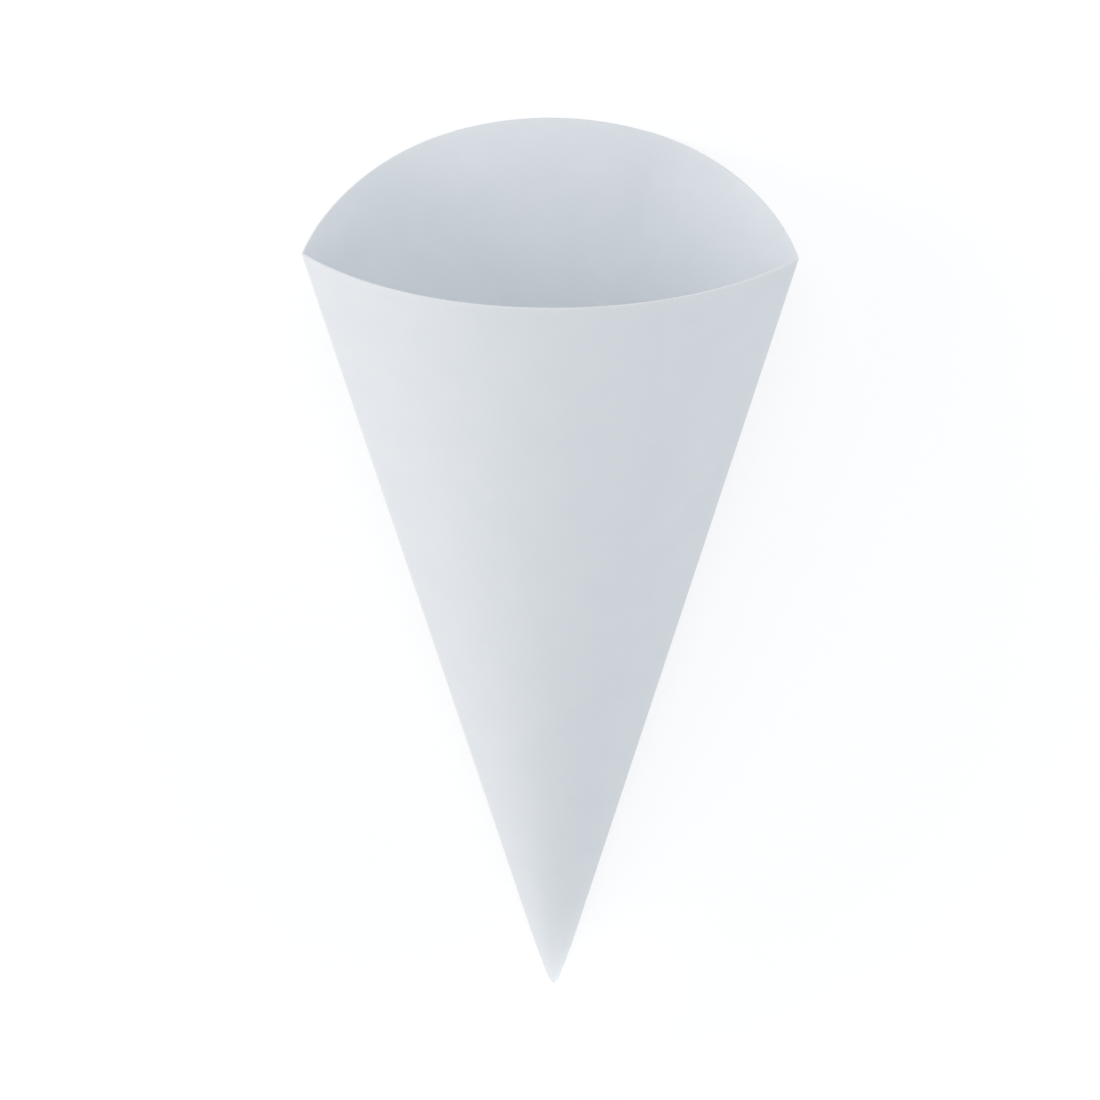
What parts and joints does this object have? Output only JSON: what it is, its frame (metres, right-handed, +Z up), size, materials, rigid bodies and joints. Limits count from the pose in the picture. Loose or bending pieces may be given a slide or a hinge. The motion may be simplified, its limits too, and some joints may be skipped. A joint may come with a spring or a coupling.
{
  "type": "paper food cone",
  "caption": "Open cone of plain white paperboard for food eaten by hand, folded to sharp side creases, with a lens-shaped mouth, a taller round-topped back and a blunt tip.",
  "frame": {"origin": "middle of the footprint on the floor plane, with the cone lying on its glued back panel", "axes": "+X across the mouth, +Y from the tip to the mouth, +Z up from the resting face through the front panel"},
  "size_m": [0.116, 0.2277, 0.05],
  "materials": {
    "paperboard": "matte"
  },
  "bodies": {
    "root": {"paper_cone": "paperboard"}
  },
  "joints": []
}
